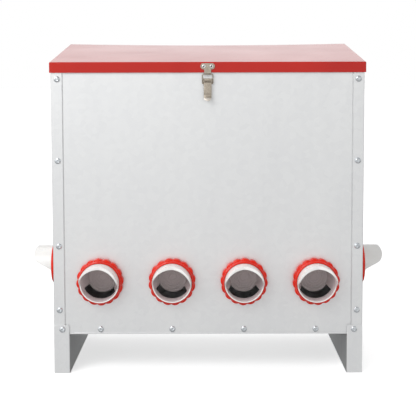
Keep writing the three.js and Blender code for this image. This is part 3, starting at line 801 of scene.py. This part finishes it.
def nutMesh():
    columns = nutLook["lobes"] * 12
    radius, depth, thick, bore = (nutLook[key] for key in ("radius", "lobeDepth", "thick", "bore"))
    rows = [  # radius, how much of the scallop it takes, distance out
        (bore, 0, 0.3), (radius - 1, 1, 0.3), (radius - 0.3, 1, 0.6), (radius, 1, 1.3), (radius, 1, 10.2),
        (radius - 0.4, 1, 11.4), (radius - 1.4, 0.9, 12.2), (radius - 2.6, 0.45, 12.6),
        (radius - 3.0, 0.1, 13.2), (radius - 3.3, 0, 14.2), (radius - 4.3, 0, 18.2), (radius - 4.8, 0, 19.6),
        (bore + 0.9, 0, thick - 0.2), (bore + 0.4, 0, thick), (bore + 0.1, 0, thick - 0.2),
        (bore, 0, thick - 0.8),
    ]
    points = []
    for rowRadius, share, out in rows:
        for column in range(columns):
            angle = 2 * math.pi * column / columns
            lobe = abs(math.cos(nutLook["lobes"] * angle / 2)) ** 0.85
            reach = rowRadius - share * depth * (1 - lobe)
            points.append((reach * math.cos(angle) * mm, reach * math.sin(angle) * mm, out * mm))
    faces = gridFaces(len(rows), columns, closed=True)
    last = (len(rows) - 1) * columns
    faces += [(last + i, last + (i + 1) % columns, (i + 1) % columns, i) for i in range(columns)]
    return turnOutwards(meshFrom("nut", points, faces))


def makePorts():
    tube = portMesh()
    nut = nutMesh()
    outwards = Matrix.Rotation(math.pi / 2, 4, "X")
    for port, tubeTurn, nutTurn in zip(portNodes, portLook["turns"], nutLook["turns"]):
        centre = boxCentre(port + "_nut")
        heading = {"right_port": math.pi / 2, "left_port": -math.pi / 2}.get(port, 0)
        centre.x = {"right_port": faceSide, "left_port": -faceSide}.get(port, centre.x)
        centre.y = centre.y if heading else faceFront
        base = Matrix.Translation(centre) @ Matrix.Rotation(heading, 4, "Z") @ outwards
        for part, mesh, turn, materials, slot in (
            ("body", tube.data, tubeTurn, (whitePvc, insidePaintedShadePvc), "white_port_plastic"),
            ("nut", nut, nutTurn, (redPolypropylene,), "red_nut_plastic"),
        ):
            copied = mesh.copy()
            copied.transform(base @ Matrix.Rotation(math.radians(turn), 4, "Z"))
            piece = meshObject(f"{port}_{part}_moulded", copied, *materials)
            finishPiece(piece, "hopper", slot, [f"{port}_{part}"])
    bpy.data.objects.remove(tube)


makePorts()
print("ports and nuts moulded")


latchLook = {
    "wire": 0.95,  # radius of the bail's wire
    "wireEnd": 4.9,  # how far its two ends stop from the middle
    "wireCorner": 2.4,
    "gauge": 1.0,
    "crown": 0.35,  # how far the lever's face bows out
    "tip": 5.5,
    "bevel": 0.25,
}
hingeLook = {
    "bevel": 0.2,
    "leaf": 1.0,
    "rivetOffset": 17,
    "rivetDrop": 5.4,  # below the lid leaf's upper end
    "rivetRise": 6,  # above the body leaf's lower end
}


def makeBail():
    low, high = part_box("latch_bail")
    wire = latchLook["wire"] * mm
    spread, endX, corner = high.x - wire, latchLook["wireEnd"] * mm, latchLook["wireCorner"] * mm
    lower = Vector((high.y - wire, low.z + wire))
    upper = Vector((low.y + wire, high.z - wire))
    along = (upper - lower).length
    flat = roundedPath(
        [
            (-endX, 0, 0), (-spread, 0, corner), (-spread, along, corner),
            (spread, along, corner), (spread, 0, corner), (endX, 0, 0),
        ],
        6,
    )
    curve = bpy.data.curves.new("bail", "CURVE")
    curve.dimensions = "3D"
    curve.bevel_depth = wire
    curve.bevel_resolution = 3
    curve.use_fill_caps = True
    spline = curve.splines.new("POLY")
    spline.points.add(len(flat) - 1)
    for point, place in zip(spline.points, flat):
        yz = lower.lerp(upper, place.y / along)
        point.co = (place.x, yz.x, yz.y, 1)
    holder = bpy.data.objects.new("bail", curve)
    bpy.context.collection.objects.link(holder)
    evaluated = holder.evaluated_get(bpy.context.evaluated_depsgraph_get())
    mesh = bpy.data.meshes.new_from_object(evaluated)
    bpy.data.objects.remove(holder)
    piece = meshObject("latch_wire", mesh, nickelPlate)
    return finishPiece(piece, "latch_bail", "plated_latch_steel", ["latch_bail"])


def makeLever():
    low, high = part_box("latch_lever")
    gauge = latchLook["gauge"] * mm
    half = high.x + 0.1 * mm
    pivotY = boxCentre("latch_pin").y
    face = pivotY - 3.6 * mm
    tip = latchLook["tip"] * mm
    outline = [
        (face, high.z - 4.6 * mm),
        (face - 0.2 * mm, low.z + 14 * mm),
        (face + 0.1 * mm, low.z + 9 * mm),
        (face - 1.2 * mm, low.z + 6 * mm),
        (face - 2.8 * mm, low.z + 2.6 * mm),
        (face - 3.4 * mm, low.z),
    ]
    rows = []
    for (y0, z0), (y1, z1) in zip(outline, outline[1:]):
        rows += [(y0 + (y1 - y0) * t / 4, z0 + (z1 - z0) * t / 4) for t in range(4)]
    rows.append(outline[-1])
    points = []
    columns = 13
    for y, z in rows:
        inset = max(0.0, tip - (z - low.z))
        width = half - tip + math.sqrt(max(0.0, tip**2 - inset**2)) if inset else half
        for column in range(columns):
            across = 2 * column / (columns - 1) - 1
            bow = latchLook["crown"] * mm * (1 - across**2)
            points.append((width * across, y - bow, z))
    faces = gridFaces(len(rows), columns)
    mesh = meshFrom("latch_handle", points, faces)
    faceOutwards(mesh, (0, -1, 0))
    for polygon in mesh.polygons:
        polygon.material_index = 1 if polygon.center.z < low.z + tip else 0
    piece = meshObject("latch_handle", mesh, nickelPlate, paleTipNickel)
    thickenInwards(piece, latchLook["gauge"])
    shape = bmesh.new()
    shape.from_mesh(piece.data)
    for sign in (-1, 1):
        x0, x1 = sorted((sign * half, sign * (half - gauge)))
        ys = (face + 0.4 * mm, pivotY + 2.3 * mm)
        profile = [(ys[0], high.z - 4.9 * mm), (pivotY - 1.6 * mm, high.z - 0.6 * mm)]
        profile += [(ys[1], high.z - 0.6 * mm), (ys[1], high.z - 7 * mm)]
        profile += [(ys[0] + 2.6 * mm, high.z - 9.5 * mm), (ys[0], high.z - 15 * mm)]
        ring = [[shape.verts.new((x, y, z)) for y, z in profile] for x in (x0, x1)]
        shape.faces.new(ring[0])
        shape.faces.new(reversed(ring[1]))
        for i in range(len(profile)):
            j = (i + 1) % len(profile)
            shape.faces.new((ring[0][j], ring[0][i], ring[1][i], ring[1][j]))
    bmesh.ops.recalc_face_normals(shape, faces=shape.faces)
    shape.to_mesh(piece.data)
    shape.free()
    bevelEdges(piece, 0.2 * mm, 2, 50)
    return finishPiece(piece, "latch_lever", "plated_latch_steel", ["latch_lever"])


makeBail()
makeLever()
for name, body in (("latch_base", "hopper"), ("latch_pin", "hopper"), ("latch_catch", "lid")):
    refineNode(name, body, "plated_latch_steel", nickelPlate, latchLook["bevel"] * mm)
for side in ("left", "right"):
    for part, body in (("body_leaf", "hopper"), ("pin", "hopper"), ("lid_leaf", "lid")):
        refineNode(f"{side}_hinge_{part}", body, "zinc_hardware", zincPlate, hingeLook["bevel"] * mm)
print("latch and hinges made")


screwLook = {
    "headRadius": 5.3,
    "headHeight": 2.9,
    "clearance": 0.4,  # of the head's top inside its CAD box
    "shank": 2.4,
    "length": 11,
    "recess": 2.7,
    "seed": 7,
}
rivetLook = {"headHeight": 1.3, "hollow": 1.25}


def latheMesh(name, profile, columns):  # radius and depth pairs turned about the Y axis
    points = []
    for radius, y in profile:
        for column in range(columns):
            angle = 2 * math.pi * column / columns
            points.append((radius * math.cos(angle) * mm, y * mm, radius * math.sin(angle) * mm))
    mesh = meshFrom(name, points, gridFaces(len(profile), columns, closed=True))
    turnOutwards(mesh, 0.05 * mm)
    return smoothShade(meshObject(name, mesh, zincPlate), 40)


def screwMesh():
    radius, height = screwLook["headRadius"], screwLook["headHeight"]
    shank, length = screwLook["shank"], screwLook["length"]
    profile = [(0.01, -height - 0.05), (radius * 0.45, -height), (radius * 0.75, -height * 0.86)]
    profile += [(radius * 0.93, -height * 0.62), (radius, -height * 0.3), (radius, -0.1), (radius - 0.2, 0.2)]
    profile += [(shank + 0.1, 0.25), (shank, 0.5), (shank, length - 1), (shank - 0.7, length), (0.01, length)]
    piece = latheMesh("screw", profile, 32)
    cutters = []
    for turn in (0, 90):
        blade = bmesh.new()
        bmesh.ops.create_cube(blade, size=1)
        size = Matrix.Diagonal((2 * screwLook["recess"] * mm, 2.6 * mm, 0.9 * mm, 1))
        place = Matrix.Translation((0, -screwLook["headHeight"] * mm, 0))
        spin = Matrix.Rotation(math.radians(turn), 4, "Y")
        bmesh.ops.transform(blade, matrix=place @ spin @ size, verts=blade.verts)
        bladeMesh = bpy.data.meshes.new("blade")
        blade.to_mesh(bladeMesh)
        blade.free()
        cutters.append(meshObject("blade", bladeMesh, zincPlate))
    cutAway(piece, cutters)
    smoothShade(piece, 40)
    return piece


def newNodeTree(name, inputs):
    tree = bpy.data.node_groups.new(name, "GeometryNodeTree")
    for label, kind, value in inputs:
        socket = tree.interface.new_socket(label, in_out="INPUT", socket_type=kind)
        if value is not None:
            socket.default_value = value
    tree.interface.new_socket("Geometry", in_out="OUTPUT", socket_type="NodeSocketGeometry")
    return tree, tree.nodes.new("NodeGroupInput"), tree.nodes.new("NodeGroupOutput")


def fastenerTree():
    tree, given, result = newNodeTree(
        "fastenersInTheirHoles",
        [
            ("Geometry", "NodeSocketGeometry", None),
            ("Fastener", "NodeSocketObject", None),
            ("Size", "NodeSocketFloat", 1.0),
            ("Seed", "NodeSocketInt", screwLook["seed"]),
            ("Material", "NodeSocketMaterial", None),
        ],
    )
    info = addNode(tree, "GeometryNodeObjectInfo", Object=given.outputs["Fastener"])
    turn = addNode(tree, "FunctionNodeRandomValue", _3=math.pi, Seed=given.outputs["Seed"])
    spin = addNode(tree, "ShaderNodeCombineXYZ", Y=turn.outputs[1])
    facing = addNode(tree, "GeometryNodeInputNamedAttribute", {"data_type": "FLOAT"}, Name="facing")
    heading = addNode(tree, "ShaderNodeCombineXYZ", Z=facing.outputs["Attribute"])
    about = addNode(tree, "FunctionNodeEulerToRotation", Euler=heading.outputs[0])
    local = addNode(tree, "FunctionNodeEulerToRotation", Euler=spin.outputs[0])
    both = addNode(
        tree,
        "FunctionNodeRotateRotation",
        {"rotation_space": "LOCAL"},
        _0=about.outputs[0],
        _1=local.outputs[0],
    )
    placed = addNode(
        tree,
        "GeometryNodeInstanceOnPoints",
        Points=given.outputs["Geometry"],
        Instance=info.outputs["Geometry"],
        Rotation=both.outputs[0],
        Scale=given.outputs["Size"],
    )
    real = addNode(tree, "GeometryNodeRealizeInstances", Geometry=placed.outputs[0])
    coated = addNode(
        tree, "GeometryNodeSetMaterial", Geometry=real.outputs[0], Material=given.outputs["Material"]
    )
    tree.links.new(coated.outputs[0], result.inputs[0])
    return tree


def mandrelMesh():  # the broken, unplated end of the mandrel down in a rivet's hollow
    radius = rivetLook["hollow"] + 0.03
    profile = [(0.01, -0.35), (0.95, -0.4), (radius, -0.15), (radius, 0.5), (0.01, 0.5)]
    return latheMesh("mandrel", profile, 20)


def rivetMesh():  # a tubular rivet: a rolled head round a hollow
    hollow, head = rivetLook["hollow"], rivetLook["headHeight"]
    profile = [(0.01, 2.4), (hollow, 2.4), (1.3, -0.7), (1.45, -1.05), (1.75, 0.05 - head), (2.2, -head)]
    profile += [(2.8, -1.0), (3.2, -0.4), (3.25, -0.1), (3.0, 0.1), (1.5, 0.15), (1.5, 2.8), (0.01, 2.8)]
    return latheMesh("rivet", profile, 28)


def growPieces(name, tree, places, values, body, slot, material, nodes=()):
    mesh = meshFrom(name, [place for place, facing in places], [])
    attribute = mesh.attributes.new("facing", "FLOAT", "POINT")
    attribute.data.foreach_set("value", [facing for place, facing in places])
    piece = meshObject(name, mesh, material)
    modifier = piece.modifiers.new("grow", "NODES")
    modifier.node_group = tree
    for item in tree.interface.items_tree:
        if item.in_out == "INPUT" and item.name in values:
            modifier[item.identifier] = values[item.name]
    bakeModifiers(piece)
    return finishPiece(piece, body, slot, nodes)


def setFasteners():
    screw = screwMesh()
    screwNodes = [name for name in allNodes if "_screw" in name]
    places = []
    for name in screwNodes:
        low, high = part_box(name)
        atFront = name.startswith("front")
        head = (screwLook["headHeight"] + screwLook["clearance"]) * mm
        y = low.y + head if atFront else high.y - head
        places.append((((low.x + high.x) / 2, y, (low.z + high.z) / 2), 0.0 if atFront else math.pi))
    values = {"Fastener": screw, "Size": 1.0, "Seed": screwLook["seed"], "Material": zincPlate}
    tree = fastenerTree()
    growPieces("body_screws", tree, places, values, "hopper", "zinc_hardware", zincPlate, screwNodes)
    bpy.data.objects.remove(screw)

    rivet = rivetMesh()
    values = {"Fastener": rivet, "Size": 1.0, "Seed": screwLook["seed"], "Material": rivetAluminium}
    lidPlaces, bodyPlaces = [], []
    catchNodes = [side + "_catch_rivet" for side in ("left", "right")]
    for name in catchNodes:
        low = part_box(name)[0]
        middle = boxCentre(name)
        lidPlaces.append(((middle.x, low.y + rivetLook["headHeight"] * mm, middle.z), 0.0))
    for side in ("left", "right"):
        lidLeaf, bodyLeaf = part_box(side + "_hinge_lid_leaf"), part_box(side + "_hinge_body_leaf")
        middle = boxCentre(side + "_hinge_lid_leaf").x
        lidZ = lidLeaf[1].z - hingeLook["rivetDrop"] * mm
        bodyZ = bodyLeaf[0].z + hingeLook["rivetRise"] * mm
        sheet = hingeLook["leaf"] * mm
        for offset in (-hingeLook["rivetOffset"], hingeLook["rivetOffset"]):
            x = middle + offset * mm
            lidPlaces.append(((x, lidLeaf[0].y + sheet, lidZ), math.pi))
            bodyPlaces.append(((x, bodyLeaf[0].y + sheet, bodyZ), math.pi))
    growPieces("lid_rivets", tree, lidPlaces, values, "lid", "zinc_hardware", rivetAluminium, catchNodes)
    growPieces("hinge_rivets", tree, bodyPlaces, values, "hopper", "zinc_hardware", rivetAluminium)
    bpy.data.objects.remove(rivet)

    # Painted shade: the mandrel ends fill each rivet's hollow in near-black steel.
    mandrel = mandrelMesh()
    values = {"Fastener": mandrel, "Size": 1.0, "Seed": screwLook["seed"], "Material": hollowShadeSteel}
    growPieces("lid_rivet_mandrels", tree, lidPlaces, values, "lid", "zinc_hardware", hollowShadeSteel)
    growPieces("hinge_rivet_mandrels", tree, bodyPlaces, values, "hopper", "zinc_hardware", hollowShadeSteel)
    bpy.data.objects.remove(mandrel)


setFasteners()
print("screws and rivets set")


floorMesh = meshFrom("studioFloor", [(-40, -40, 0), (40, -40, 0), (40, 40, 0), (-40, 40, 0)], [(0, 1, 2, 3)])
floor = meshObject("studioFloor", floorMesh, makeFloor())
floor.visible_glossy = False
floor.visible_diffuse = False
